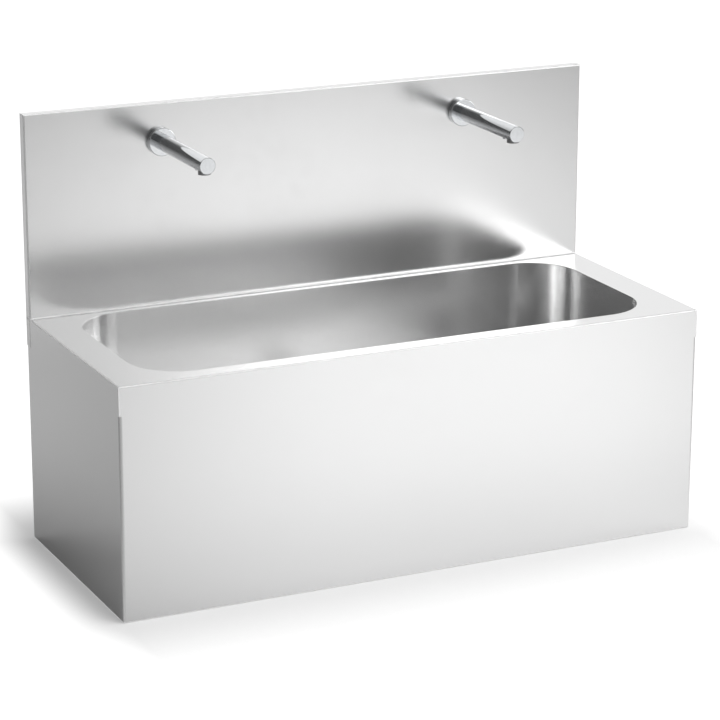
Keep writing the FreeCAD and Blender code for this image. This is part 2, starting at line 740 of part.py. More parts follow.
# ---------------------------------------------------------------- spouts
def make_tap(side, name):
    """One wall spout with its flange, end cap, outlet, sensor lens and inlet elbow."""
    x = side * tap_spacing / 2
    back = splash_y - tap_seal_thickness
    out = V(0, -1, 0)
    hole = spout_radius + tap_flange_gap
    flange = turned([(hole, 0), (tap_flange_radius, 0), (tap_flange_radius, tap_flange_depth),
                     (hole, tap_flange_depth)], V(x, back, tap_z), out)
    rim = edges_where(flange, lambda p: near(p.y, back - tap_flange_depth)
                      and near(math.hypot(p.x - x, p.z - tap_z), tap_flange_radius))
    flange = flange.makeFillet(tap_flange_edge, rim)
    front = back - tap_flange_depth
    pocket = round_y(x, tap_z, tap_flange_radius - tap_flange_wall, front + tap_flange_wall, back + margin)
    pocket = pocket.cut(round_y(x, tap_z, spout_radius + tap_flange_wall, front, back + margin))
    save(name + "_tap_flange", flange.cut(pocket))

    seam_y = splash_y - sleeve_length
    elbow_y = tray_y + backnut_thickness + elbow_nut_gap
    shank_end = splash_y - elbow_y - shank_in_elbow
    spigot = spout_bore - spigot_clearance
    sleeve = turned([(shank_bore, shank_end), (shank_radius, shank_end),
                     (shank_radius, tap_seal_thickness), (spout_radius, tap_seal_thickness),
                     (spout_radius, sleeve_length), (spigot, sleeve_length),
                     (spigot, sleeve_length + spigot_length), (shank_bore, sleeve_length + spigot_length)],
                    V(x, splash_y, tap_z), out)
    save(name + "_tap_sleeve", sleeve)

    cap_y = spout_end_y + end_cap_thickness
    tube = round_y(x, tap_z, spout_radius, cap_y, seam_y - seam_width)
    tube = tube.cut(round_y(x, tap_z, spout_bore, cap_y - margin, seam_y + margin))
    nozzle_y = spout_end_y + aerator_setback
    nozzle_bottom = tap_z - spout_radius - aerator_drop
    nozzle_hole = round_z(x, nozzle_y, aerator_radius + aerator_gap, nozzle_bottom, tap_z)
    tube = tube.cut(nozzle_hole)
    lens_y = spout_end_y + lens_setback
    lens_bottom = tap_z - spout_radius - lens_proud
    tube = tube.cut(round_z(x, lens_y, lens_radius + lens_gap, lens_bottom, tap_z))
    save(name + "_spout_tube", tube)

    cap = round_y(x, tap_z, spout_radius, spout_end_y, cap_y)
    rim = edges_where(cap, lambda p: near(p.y, spout_end_y))
    cap = cap.makeChamfer(end_cap_chamfer, rim)
    cap = cap.fuse(round_y(x, tap_z, spigot, cap_y, cap_y + end_cap_spigot))
    cap = cap.cut(nozzle_hole)
    save(name + "_spout_end_cap", cap)

    nozzle_top = nozzle_bottom + aerator_height
    aerator = round_z(x, nozzle_y, aerator_radius, nozzle_bottom, nozzle_top)
    recess = round_z(x, nozzle_y, aerator_bore, nozzle_bottom - margin, nozzle_bottom + aerator_recess)
    hole = round_z(x + aerator_hole_pitch, nozzle_y, aerator_hole_radius, nozzle_bottom, nozzle_top + margin)
    aerator = aerator.cut(recess).cut(round_about(hole, aerator_holes, V(x, nozzle_y, 0), V(0, 0, 1)))
    save(name + "_aerator", aerator)

    save(name + "_sensor_lens", round_z(x, lens_y, lens_radius, lens_bottom, lens_bottom + lens_thickness))

    pipe_y = wall_y - pipe_wall_offset
    elbow = block(x - elbow_left_width, x + elbow_right_width, elbow_y, wall_y - elbow_wall_gap,
                  tap_z - elbow_half_height, tap_z + elbow_half_height)
    if side < 0:
        elbow = elbow.mirror(V(x, 0, 0), V(1, 0, 0))
    elbow = elbow.cut(round_y(x, tap_z, shank_radius, elbow_y - margin, elbow_y + shank_in_elbow))
    bottom = tap_z - elbow_half_height
    elbow = elbow.cut(round_z(x, pipe_y, pipe_radius + socket_gap, bottom - margin, bottom + pipe_in_socket))
    elbow = elbow.cut(round_z(x, pipe_y, pipe_radius - pipe_wall, bottom, tap_z))
    save(name + "_tap_elbow", elbow)


def make_tap_fixings():
    """Seals in front of the splashback and nuts behind it."""
    seals = []
    nuts = []
    for side in (-1, 1):
        x = side * tap_spacing / 2
        seal = round_y(x, tap_z, tap_seal_radius, splash_y - tap_seal_thickness, splash_y)
        seals.append(seal.cut(round_y(x, tap_z, shank_radius, splash_y - margin, splash_y + margin)))
        nut = hexagon(V(x, tray_y, tap_z), V(0, 1, 0), backnut_flats, backnut_thickness)
        bore = round_y(x, tap_z, shank_radius, tray_y - margin, tray_y + backnut_thickness + margin)
        nuts.append(nut.cut(bore))
    save("tap_seals", Part.makeCompound(seals))
    save("tap_backnuts", Part.makeCompound(nuts))


# ---------------------------------------------------------------- pipes and cables
def make_supply_pipe(side, name):
    """Pipe from the solenoid valve up to the spout's elbow."""
    x = side * tap_spacing / 2
    pipe_y = wall_y - pipe_wall_offset
    jog_z = body_height - jog_top_below_deck
    points = [V(x, pipe_y, tap_z - elbow_half_height + pipe_in_socket), V(x, pipe_y, jog_z),
              V(x, service_y, jog_z - jog_length), V(x, service_y, solenoid_top - socket_depth)]
    save(name + "_supply_pipe", routed_tube(points, pipe_radius, pipe_bend, pipe_radius - pipe_wall))


def make_distribution_pipe():
    """Pipe from the mixing valve's outlet to both solenoid valves, with its tee and clips."""
    x = tap_spacing / 2
    end_z = solenoid_bottom + socket_depth
    points = [V(-x, service_y, end_z), V(-x, service_y, branch_height), V(x, service_y, branch_height),
              V(x, service_y, end_z)]
    pipe = routed_tube(points, branch_radius, branch_bend)
    stub_top = supply_height - mixer_radius - mixer_outlet_length + socket_depth
    pipe = pipe.fuse(round_z(mixer_x, service_y, branch_radius, branch_height, stub_top))
    tee = round_x(service_y, branch_height, tee_radius, mixer_x - tee_half_length, mixer_x + tee_half_length)
    pipe = pipe.fuse(tee)
    bore = branch_radius - branch_wall
    pipe = pipe.cut(routed_tube(points, bore, branch_bend))
    pipe = pipe.cut(round_z(mixer_x, service_y, bore, branch_height, stub_top + margin))
    save("distribution_pipe", pipe)
    clips = []
    for place in (clip_left, mixer_x - clip_past_mixer, mixer_x + clip_near_mixer):
        left = place - clip_width / 2
        right = place + clip_width / 2
        ring = round_x(service_y, branch_height, branch_radius + clip_wall, left, right)
        foot = block(left, right, service_y, panel_y,
                     branch_height - branch_radius, branch_height + branch_radius)
        bore = round_x(service_y, branch_height, branch_radius + socket_gap, left - margin, right + margin)
        clips.append(ring.fuse(foot).cut(bore))
    save("pipe_clips", Part.makeCompound(clips))


def make_cables():
    """Sensor cables down from the spouts and leads of the coils, both to the control box."""
    cable_y = wall_y - cable_wall_offset
    low_y = service_y + pipe_radius + 2 * cable_radius
    exit_z = control_bottom + control_height - cable_exit_drop
    jog_z = body_height - jog_top_below_deck
    sides = {-1: control_left, 1: control_left + control_width}
    sensor = []
    for side in (-1, 1):
        x = side * (tap_spacing / 2 + cable_offset)
        points = [V(x, cable_y, tap_z - elbow_half_height), V(x, cable_y, jog_z),
                  V(x, low_y, jog_z - jog_length), V(x, low_y, exit_z), V(sides[side], low_y, exit_z)]
        sensor.append(routed_tube(points, cable_radius, cable_bend))
    save("sensor_cables", Part.makeCompound(sensor))
    shelf_z = panel_bottom + sheet + lead_drop
    shelf_y = panel_y - lead_drop - cable_radius
    start_z = (solenoid_bottom + solenoid_top) / 2 - coil_radius
    coil_y = service_y - solenoid_bonnet_reach - coil_length / 2
    leads = []
    for side in (-1, 1):
        x = side * tap_spacing / 2
        entry = control_left + lead_entry + side * lead_pitch / 2
        points = [V(x, coil_y, start_z), V(x, coil_y, shelf_z), V(x, shelf_y, shelf_z),
                  V(entry, shelf_y, shelf_z), V(entry, shelf_y, control_bottom)]
        leads.append(routed_tube(points, cable_radius, cable_bend))
    save("coil_leads", Part.makeCompound(leads))


# ---------------------------------------------------------------- water group
def make_stop_valve(side, name):
    """Quarter-turn stop valve with its wall thread, side outlet and lever."""
    x = mixer_x + side * valve_spread
    out = V(0, -1, 0)
    wall = V(x, wall_y, supply_height)
    hex_start = thread_length
    body_start = hex_start + valve_hex_length
    bonnet_start = body_start + valve_body_length
    bonnet_end = bonnet_start + bonnet_length
    body = turned([(0, 0), (thread_radius, 0), (thread_radius, hex_start), (valve_body_radius, hex_start),
                   (valve_body_radius, bonnet_start), (bonnet_radius, bonnet_start),
                   (bonnet_radius, bonnet_end), (0, bonnet_end)], wall, out)
    body = body.fuse(hexagon(wall + out * hex_start, out, valve_hex_flats, valve_hex_length))
    port_end = mixer_x + side * (mixer_length / 2 + mixer_port_length)
    low, high = min(x, port_end), max(x, port_end)
    body = body.fuse(round_x(service_y, supply_height, outlet_radius, low, high))
    ball_y = wall_y - bonnet_start + valve_bore
    body = body.cut(round_y(x, supply_height, valve_bore, ball_y, wall_y + margin))
    body = body.cut(round_x(service_y, supply_height, outlet_bore, low, high))
    stem_back = wall_y - bonnet_start
    stem_bore = lever_stem_radius + stem_clearance
    body = body.cut(round_y(x, supply_height, stem_bore, wall_y - bonnet_end - margin, stem_back))
    save(name + "_stop_valve", body)
    hub_back = wall_y - bonnet_end - lever_gap
    hub_front = hub_back - lever_hub_length
    lever = round_y(x, supply_height, lever_stem_radius, hub_front, stem_back - lever_gap)
    lever = lever.fuse(round_y(x, supply_height, lever_hub_radius, hub_front, hub_back))
    half = lever_width / 2
    tip = supply_height - lever_length + half
    arm_back = hub_front + lever_thickness
    arm = block(x - half, x + half, hub_front, arm_back, tip, supply_height)
    arm = arm.fuse(round_y(x, tip, half, hub_front, arm_back))
    save(name + "_stop_lever", lever.fuse(arm))


def make_mixing_valve():
    """Thermostatic mixing valve with hot and cold ports, lower outlet, mounting foot and knob."""
    half = mixer_length / 2
    reach = half + mixer_port_length
    body = round_x(service_y, supply_height, mixer_radius, mixer_x - half, mixer_x + half)
    body = body.fuse(round_x(service_y, supply_height, mixer_port_radius, mixer_x - reach, mixer_x + reach))
    foot_x = mixer_foot_width / 2
    foot_z = mixer_foot_height / 2
    body = body.fuse(block(mixer_x - foot_x, mixer_x + foot_x, service_y, panel_y,
                           supply_height - foot_z, supply_height + foot_z))
    outlet_z = supply_height - mixer_radius - mixer_outlet_length
    body = body.fuse(round_z(mixer_x, service_y, mixer_outlet_radius, outlet_z, supply_height))
    neck_y = service_y - mixer_radius - mixer_neck_length
    body = body.fuse(round_y(mixer_x, supply_height, mixer_neck_radius, neck_y, service_y))
    chamber = half - mixer_end_wall
    body = body.cut(round_x(service_y, supply_height, mixer_bore, mixer_x - chamber, mixer_x + chamber))
    for side in (-1, 1):
        port_end = mixer_x + side * reach
        low, high = min(port_end, mixer_x), max(port_end, mixer_x)
        body = body.cut(round_x(service_y, supply_height, outlet_bore, low, high))
    socket = branch_radius + socket_gap
    body = body.cut(round_z(mixer_x, service_y, socket, outlet_z - margin, outlet_z + socket_depth))
    body = body.cut(round_z(mixer_x, service_y, outlet_bore, outlet_z - margin, supply_height))
    stem_bore = knob_stem_radius + stem_clearance
    body = body.cut(round_y(mixer_x, supply_height, stem_bore, neck_y - margin, service_y))
    save("mixing_valve", body)
    back = neck_y - knob_gap
    front = back - knob_length
    knob = round_y(mixer_x, supply_height, knob_radius, front, back)
    rim = edges_where(knob, lambda p: near(p.y, front))
    knob = knob.makeFillet(knob_edge, rim)
    flute = round_y(mixer_x + knob_radius + knob_flute_offset, supply_height, knob_flute_radius,
                    front - margin, back - knob_skirt)
    knob = knob.cut(round_about(flute, knob_flutes, V(mixer_x, 0, supply_height), V(0, 1, 0)))
    stem_end = service_y - mixer_bore / 2
    knob = knob.fuse(round_y(mixer_x, supply_height, knob_stem_radius, back, stem_end))
    save("mixing_knob", knob)
    nuts = []
    for side in (-1, 1):
        start = mixer_x + side * (half + union_gap)
        axis = V(side, 0, 0)
        port_end = mixer_x + side * reach
        nut_end = start + side * union_length
        nut = hexagon(V(start, service_y, supply_height), axis, union_flats, union_length)
        for radius, end in ((mixer_port_radius, port_end), (outlet_radius, nut_end)):
            bore = round_x(service_y, supply_height, radius, min(start, end), max(start, end))
            nut = nut.cut(bore)
        nuts.append(nut)
    save("union_nuts", Part.makeCompound(nuts))


def make_solenoid(side, name):
    """Solenoid valve in the supply pipe, its coil and its sliding plunger."""
    x = side * tap_spacing / 2
    middle = (solenoid_bottom + solenoid_top) / 2
    face = service_y - solenoid_bonnet_reach
    tip = face - guide_length
    body = round_z(x, service_y, solenoid_radius, solenoid_bottom, solenoid_top)
    body = body.fuse(round_y(x, middle, solenoid_bonnet_radius, face, service_y))
    body = body.fuse(round_y(x, middle, guide_radius, tip, face))
    low = solenoid_bottom + socket_depth
    high = solenoid_top - socket_depth
    body = body.cut(round_z(x, service_y, branch_radius + socket_gap, solenoid_bottom - margin, low))
    body = body.cut(round_z(x, service_y, pipe_radius + socket_gap, high, solenoid_top + margin))
    body = body.cut(round_z(x, service_y, pipe_radius - pipe_wall, solenoid_bottom, solenoid_top))
    body = body.cut(round_y(x, middle, plunger_radius + stem_clearance, tip + guide_end_wall, face))
    save(name + "_solenoid_body", body)
    plunger = round_y(x, middle, plunger_radius, face - plunger_length, face)
    save(name + "_solenoid_plunger", plunger)
    coil = round_y(x, middle, coil_radius, face - coil_length, face)
    coil = coil.fuse(block(x - coil_block_width / 2, x + coil_block_width / 2,
                           face - coil_length, face - coil_block_setback,
                           middle - coil_radius, middle - coil_radius + coil_block_height))
    bore = guide_radius + coil_clearance
    coil = coil.cut(round_y(x, middle, bore, face - coil_length - margin, face + margin))
    save(name + "_solenoid_coil", coil)


def make_control_box():
    """Box with the sensor electronics on the service panel, and its lid."""
    x0 = control_left
    x1 = control_left + control_width
    z0 = control_bottom
    z1 = control_bottom + control_height
    mouth = panel_y - control_depth

    def rounded(inset, y0, y1):
        corners = [V(x0 + inset, y0, z0 + inset), V(x1 - inset, y0, z0 + inset),
                   V(x1 - inset, y0, z1 - inset), V(x0 + inset, y0, z1 - inset)]
        wire = rounded_outline(corners, [control_corner - inset] * 4)
        return Part.Face(wire).extrude(V(0, y1 - y0, 0))

    shell = rounded(0, mouth, panel_y).cut(rounded(control_wall, mouth - margin, panel_y - control_wall))
    save("control_box", shell)
    lid = rounded(0, mouth - lid_thickness, mouth)
    lip = rounded(control_wall + lid_lip_clearance, mouth, mouth + lid_lip)
    save("control_box_lid", lid.fuse(lip))


# ---------------------------------------------------------------- waste and trap
def make_waste():
    """Waste body with its strainer, screw, seals and backnut."""
    seat = sink_z + seal_thickness
    face = seat + waste_flange_thickness
    ledge = face - strainer_inset - strainer_thickness
    centre = V(0, basin_y, 0)
    up = V(0, 0, 1)
    recess = strainer_radius + strainer_fit
    edge = waste_flange_edge
    body = turned([(waste_bore, waste_end), (waste_radius, waste_end), (waste_radius, seat),
                   (waste_flange_radius, seat), (waste_flange_radius, face - edge),
                   (waste_flange_radius - edge, face), (recess, face), (recess, ledge), (waste_bore, ledge)],
                  centre, up)
    bar_top = ledge - bar_below_strainer
    bar_bottom = bar_top - bar_height
    bar_end = waste_bore + bar_root
    bar = block(-bar_end, bar_end, basin_y - bar_width / 2, basin_y + bar_width / 2, bar_bottom, bar_top)
    body = body.fuse(bar)
    body = body.cut(round_z(0, basin_y, strainer_screw_radius, bar_bottom - margin, bar_top + margin))
    save("waste_flange", body)
    plate = round_z(0, basin_y, strainer_radius, ledge, ledge + strainer_thickness)
    rings = ((strainer_inner_holes, strainer_inner_pitch, strainer_inner_hole),
             (strainer_outer_holes, strainer_outer_pitch, strainer_outer_hole))
    for count, pitch, radius in rings:
        hole = round_z(pitch, basin_y, radius, ledge - margin, ledge + margin)
        plate = plate.cut(round_about(hole, count, centre, up))
    shank = strainer_screw_radius + screw_clearance
    save("waste_strainer", plate.cut(round_z(0, basin_y, shank, ledge - margin, ledge + margin)))
    head_z = ledge + strainer_thickness
    crown_z = head_z + strainer_screw_head_height
    screw = turned([(0, bar_bottom), (strainer_screw_radius, bar_bottom), (strainer_screw_radius, head_z),
                    (strainer_screw_head, head_z), (strainer_screw_head - strainer_screw_edge, crown_z),
                    (0, crown_z)], centre, up)
    save("strainer_screw", screw)
    seals = []
    for bottom in (sink_z, under_z - seal_thickness):
        seal = round_z(0, basin_y, seal_outer, bottom, bottom + seal_thickness)
        seals.append(seal.cut(round_z(0, basin_y, seal_inner, bottom - margin, bottom + margin)))
    save("waste_seals", Part.makeCompound(seals))
    nut_top = under_z - seal_thickness
    nut_bottom = nut_top - backnut_waste_height
    nut = hexagon(V(0, basin_y, nut_bottom), up, backnut_waste_flats, backnut_waste_height)
    nut = nut.cut(round_z(0, basin_y, waste_radius + thread_gap, nut_bottom - margin, nut_top + margin))
    save("waste_backnut", nut)


def slip_nut(mouth, direction):
    """Ribbed slip nut whose threaded mouth opens against a direction and whose lip lies ahead."""
    thread = waste_radius + thread_gap
    nut = turned([(thread, 0), (slip_nut_radius, 0), (slip_nut_radius, slip_nut_length),
                  (waste_pipe_radius + slip_fit, slip_nut_length),
                  (waste_pipe_radius + slip_fit, slip_nut_length - slip_nut_lip),
                  (thread, slip_nut_length - slip_nut_lip)], mouth, direction)
    start = mouth + V(slip_nut_radius + slip_nut_groove_offset, 0, 0)
    groove = Part.makeCylinder(slip_nut_groove_radius, slip_nut_length, start, direction)
    return nut.cut(round_about(groove, slip_nut_groove_count, mouth, direction))


def make_trap():
    """Bottle trap: inlet tube, body, cup, outlet pipe and the three slip nuts."""
    up = V(0, 0, 1)
    centre = V(0, basin_y, 0)
    inner = waste_pipe_radius - waste_pipe_wall
    sleeve = waste_pipe_radius + slip_fit
    mouth = outlet_height - dip_below_outlet
    seat = waste_end - collar_thickness
    tube = turned([(inner, mouth), (waste_pipe_radius, mouth), (waste_pipe_radius, seat),
                   (collar_radius, seat), (collar_radius, waste_end), (inner, waste_end)], centre, up)
    save("trap_inlet_tube", tube)
    shoulder = outlet_height + trap_above_outlet
    foot = outlet_height - trap_below_outlet
    neck_top = shoulder + trap_neck_length
    hollow = trap_radius - trap_wall
    side_end = basin_y + trap_radius + trap_side_neck
    body = round_z(0, basin_y, trap_radius, foot, shoulder)
    crown = edges_where(body, lambda p: near(p.z, shoulder))
    body = body.makeFillet(trap_shoulder, crown)
    body = body.fuse(round_z(0, basin_y, waste_radius, shoulder - trap_wall, neck_top))
    body = body.fuse(round_y(0, outlet_height, waste_radius, basin_y, side_end))
    body = body.cut(round_z(0, basin_y, hollow, foot - margin, shoulder - trap_wall))
    body = body.cut(round_z(0, basin_y, sleeve, shoulder - margin, neck_top + margin))
    body = body.cut(round_y(0, outlet_height, sleeve, basin_y + trap_radius, side_end + margin))
    body = body.cut(round_y(0, outlet_height, inner, basin_y, side_end))
    save("trap_body", body)
    cup_top = foot + cup_overlap
    outer = trap_radius + trap_wall + thread_gap
    floor = foot - cup_depth
    edge = foot - cup_edge_drop
    thread = trap_radius + thread_gap
    cup = turned([(0, floor), (cup_bottom_radius, floor), (trap_radius, edge), (outer, foot),
                  (outer, cup_top), (thread, cup_top), (thread, foot), (hollow, foot),
                  (hollow, edge + cup_inner_rise), (cup_bottom_radius - cup_inner_rise, floor + trap_wall),
                  (0, floor + trap_wall)], centre, up)
    rim_x = outer + cup_groove_offset
    groove = round_z(rim_x, basin_y, cup_groove_radius, foot + cup_collar, cup_top + margin)
    save("trap_cup", cup.cut(round_about(groove, cup_groove_count, centre, up)))
    pipe = round_y(0, outlet_height, waste_pipe_radius, basin_y + trap_radius, wall_y)
    mark_y = wall_y - mark_from_wall - mark_width
    mark = round_y(0, outlet_height, waste_pipe_radius + margin, mark_y, mark_y + mark_width)
    mark = mark.cut(round_y(0, outlet_height, waste_pipe_radius - mark_depth, mark_y, mark_y + mark_width))
    pipe = pipe.cut(round_y(0, outlet_height, inner, basin_y, wall_y + margin))
    save("trap_outlet_pipe", pipe.cut(mark))
    nut_overlap = slip_nut_length - slip_nut_lip
    nuts = [slip_nut(V(0, basin_y, seat + nut_overlap), V(0, 0, -1)),
            slip_nut(V(0, basin_y, neck_top - nut_overlap), up),
            slip_nut(V(0, side_end - nut_overlap, outlet_height), V(0, 1, 0))]
    save("slip_nuts", Part.makeCompound(nuts))


os.makedirs("parts", exist_ok=True)
make_deck()
make_splashback()
make_skirt()
make_bowl()
make_stiffening()
make_hanging()
make_splashback_bolts()
make_service_panel()
for tap_side, tap_name in ((-1, "left"), (1, "right")):
    make_tap(tap_side, tap_name)
    make_supply_pipe(tap_side, tap_name)
    make_solenoid(tap_side, tap_name)
make_tap_fixings()
make_distribution_pipe()
make_cables()
make_stop_valve(-1, "hot")
make_stop_valve(1, "cold")
make_mixing_valve()
make_control_box()
make_waste()
make_trap()
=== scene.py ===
"""Looks of the wall-mounted hand wash sink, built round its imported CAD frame.

Metres. X runs to the right as seen from the front, Y runs back to the wall, Z is up.
"""

import json
import math

import bpy
from mathutils import Matrix, Vector


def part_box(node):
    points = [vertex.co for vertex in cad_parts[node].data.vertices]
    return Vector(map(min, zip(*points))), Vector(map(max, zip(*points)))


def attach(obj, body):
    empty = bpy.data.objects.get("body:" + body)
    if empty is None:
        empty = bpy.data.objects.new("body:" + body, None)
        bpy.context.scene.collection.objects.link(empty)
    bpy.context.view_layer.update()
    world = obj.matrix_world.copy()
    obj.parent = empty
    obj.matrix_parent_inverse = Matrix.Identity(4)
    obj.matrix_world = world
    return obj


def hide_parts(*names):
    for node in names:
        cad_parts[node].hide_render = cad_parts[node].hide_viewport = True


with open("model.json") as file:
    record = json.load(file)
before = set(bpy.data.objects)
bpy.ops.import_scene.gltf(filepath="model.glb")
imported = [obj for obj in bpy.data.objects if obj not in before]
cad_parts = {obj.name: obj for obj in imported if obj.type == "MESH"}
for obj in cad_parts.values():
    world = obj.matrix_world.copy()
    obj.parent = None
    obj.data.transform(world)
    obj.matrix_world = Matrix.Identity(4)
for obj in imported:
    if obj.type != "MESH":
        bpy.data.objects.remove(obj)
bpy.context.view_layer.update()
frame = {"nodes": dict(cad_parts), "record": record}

# ---------------------------------------------------------------- sizes of the sink, from the frame
skirt_low, skirt_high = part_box("apron_skirt")
splash_low, splash_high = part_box("splashback")
WIDTH_HALF = skirt_high.x
FRONT_Y = skirt_low.y
SPLASH_Y = splash_low.y
WALL_Y = splash_high.y
DECK_Z = 0.45  # level face of the deck


# ---------------------------------------------------------------- node helpers
def put(tree, kind, feeds=None, **settings):
    """One node: its settings, then its inputs, each given as a value or as the socket that feeds it."""
    node = tree.nodes.new(kind)
    for key, value in settings.items():
        setattr(node, key, value)
    for key, value in (feeds or {}).items():
        socket = node.inputs[key]
        if isinstance(value, bpy.types.NodeSocket):
            tree.links.new(value, socket)
        else:
            socket.default_value = value
    return node


def calc(tree, operation, a, b=0.0, clamp=False):
    """Output of one Math node."""
    node = put(tree, "ShaderNodeMath", {0: a, 1: b}, operation=operation, use_clamp=clamp)
    return node.outputs[0]


def vector_calc(tree, operation, a, b=(0.0, 0.0, 0.0), out="Vector"):
    """Output of one Vector Math node."""
    return put(tree, "ShaderNodeVectorMath", {0: a, 1: b}, operation=operation).outputs[out]


def ramp_between(tree, value, low, high, to_low=0.0, to_high=1.0):
    """Value carried smoothly from the range low..high to to_low..to_high."""
    feeds = {"Value": value, "From Min": low, "From Max": high, "To Min": to_low, "To Max": to_high}
    return put(tree, "ShaderNodeMapRange", feeds, interpolation_type="SMOOTHSTEP").outputs[0]


def noise(tree, vector, scale, detail=2.0, rough=0.5):
    """Grey value of one Noise Texture."""
    feeds = {"Vector": vector, "Scale": scale, "Detail": detail, "Roughness": rough}
    return put(tree, "ShaderNodeTexNoise", feeds).outputs[0]


def blend_colours(tree, factor, a, b):
    """Colour between a and b."""
    feeds = {0: factor, 6: a, 7: b}
    return put(tree, "ShaderNodeMix", feeds, data_type="RGBA", clamp_factor=True).outputs[2]


def height_of(tree, vector):
    """Third part of a vector: how far a normal or a direction points up."""
    return put(tree, "ShaderNodeSeparateXYZ", {0: vector}).outputs[2]


def grey(level, tint=(1.0, 1.0, 1.0)):
    """Opaque colour of one brightness, tinted."""
    return (level * tint[0], level * tint[1], level * tint[2], 1.0)


# ---------------------------------------------------------------- shared effects
def new_group(name, inputs, outputs):
    """Shader node group with named sockets; returns its tree, its input node and its output node."""
    tree = bpy.data.node_groups.new(name, "ShaderNodeTree")
    for socket_name, kind, value in inputs:
        socket = tree.interface.new_socket(name=socket_name, in_out="INPUT", socket_type=kind)
        if value is not None:
            socket.default_value = value
    for socket_name, kind in outputs:
        tree.interface.new_socket(name=socket_name, in_out="OUTPUT", socket_type=kind)
    return tree, tree.nodes.new("NodeGroupInput"), tree.nodes.new("NodeGroupOutput")


VALUE = "NodeSocketFloat"
VECTOR = "NodeSocketVector"
LEVEL_FACE = 0.7  # a face whose normal points up or down by more than this counts as level
BAND_SCALE = 0.16  # broad bands of the brushing, against its fine lines


def brush_group():
    """Brushing lines: noise squeezed across the brushing and drawn out along it.

    Level faces and upright ones are brushed apart, each along the sink's length.
    """
    tree, start, end = new_group(
        "brushing_lines",
        [("Vector", VECTOR, None), ("Normal", VECTOR, None), ("Along", VALUE, 9.0), ("Across", VALUE, 900.0)],
        [("Lines", VALUE), ("Bands", VALUE)],
    )
    along, across = start.outputs["Along"], start.outputs["Across"]
    upright = put(tree, "ShaderNodeCombineXYZ", {0: along, 1: along, 2: across}).outputs[0]
    level = put(tree, "ShaderNodeCombineXYZ", {0: along, 1: across, 2: along}).outputs[0]
    lift = height_of(tree, start.outputs["Normal"])
    flat = calc(tree, "GREATER_THAN", calc(tree, "ABSOLUTE", lift), LEVEL_FACE)
    stretch = put(tree, "ShaderNodeMix", {0: flat, 4: upright, 5: level}, data_type="VECTOR").outputs[1]
    stretched = vector_calc(tree, "MULTIPLY", start.outputs["Vector"], stretch)
    tree.links.new(noise(tree, stretched, 1.0, 3.0, 0.65), end.inputs["Lines"])
    tree.links.new(noise(tree, stretched, BAND_SCALE, 2.0, 0.5), end.inputs["Bands"])
    return tree


def cloud_group():
    """Faint handling marks: two sizes of noise multiplied, so that they come and go over the surface."""
    tree, start, end = new_group(
        "handling_marks",
        [("Vector", VECTOR, None), ("Size", VALUE, 6.0)],
        [("Marks", VALUE)],
    )
    place, size = start.outputs["Vector"], start.outputs["Size"]
    broad = ramp_between(tree, noise(tree, place, size, 2.0, 0.5), 0.42, 0.68)
    finer = calc(tree, "MULTIPLY", size, 7.0)
    fine = ramp_between(tree, noise(tree, place, finer, 4.0, 0.6), 0.35, 0.75)
    tree.links.new(calc(tree, "MULTIPLY", broad, fine), end.inputs["Marks"])
    return tree


def edge_highlight_group():
    """Painted highlight along the edges of a box, broken up by noise.

    The middle one of the distances to its three nearest faces is small only by an edge.
    """
    tree, start, end = new_group(
        "painted_edge_highlights",
        [("Vector", VECTOR, None), ("Low", VECTOR, None), ("High", VECTOR, None), ("Reach", VALUE, 0.003)],
        [("Edge Highlight", VALUE)],
    )
    place = start.outputs["Vector"]
    below = vector_calc(tree, "ABSOLUTE", vector_calc(tree, "SUBTRACT", place, start.outputs["Low"]))
    above = vector_calc(tree, "ABSOLUTE", vector_calc(tree, "SUBTRACT", start.outputs["High"], place))
    gap = put(tree, "ShaderNodeSeparateXYZ", {0: vector_calc(tree, "MINIMUM", below, above)}).outputs
    smaller = calc(tree, "MINIMUM", gap[0], gap[1])
    larger = calc(tree, "MAXIMUM", gap[0], gap[1])
    middle = calc(tree, "MAXIMUM", smaller, calc(tree, "MINIMUM", larger, gap[2]))
    close = ramp_between(tree, calc(tree, "DIVIDE", middle, start.outputs["Reach"]), 0.0, 1.0, 1.0, 0.0)
    uneven_highlight = ramp_between(tree, noise(tree, place, 60.0, 3.0, 0.6), 0.25, 0.55, 0.5, 1.0)
    tree.links.new(calc(tree, "MULTIPLY", close, uneven_highlight), end.inputs["Edge Highlight"])
    return tree


def dust_group():
    """Settled dust: only on faces that look up, broken up by noise."""
    tree, start, end = new_group(
        "settled_dust",
        [("Vector", VECTOR, None), ("Normal", VECTOR, None), ("Amount", VALUE, 0.2)],
        [("Dust", VALUE)],
    )
    lying = ramp_between(tree, height_of(tree, start.outputs["Normal"]), 0.2, 0.95)
    patchy = ramp_between(tree, noise(tree, start.outputs["Vector"], 25.0, 4.0, 0.6), 0.3, 0.7, 0.4, 1.0)
    dust = calc(tree, "MULTIPLY", lying, patchy)
    tree.links.new(calc(tree, "MULTIPLY", dust, start.outputs["Amount"]), end.inputs["Dust"])
    return tree


def spangle_group():
    """Zinc spangle: crystals of uneven size, each with its own shade."""
    tree, start, end = new_group(
        "zinc_spangle",
        [("Vector", VECTOR, None), ("Scale", VALUE, 110.0)],
        [("Shade", VALUE)],
    )
    place = start.outputs["Vector"]
    wobble = put(tree, "ShaderNodeTexNoise", {"Vector": place, "Scale": 40.0, "Detail": 2.0})
    shift = vector_calc(tree, "MULTIPLY", wobble.outputs["Color"], (0.02, 0.02, 0.02))
    moved = vector_calc(tree, "ADD", place, shift)
    cells = put(tree, "ShaderNodeTexVoronoi", {"Vector": moved, "Scale": start.outputs["Scale"]})
    shade = put(tree, "ShaderNodeSeparateColor", {0: cells.outputs["Color"]}).outputs[0]
    tree.links.new(shade, end.inputs["Shade"])
    return tree


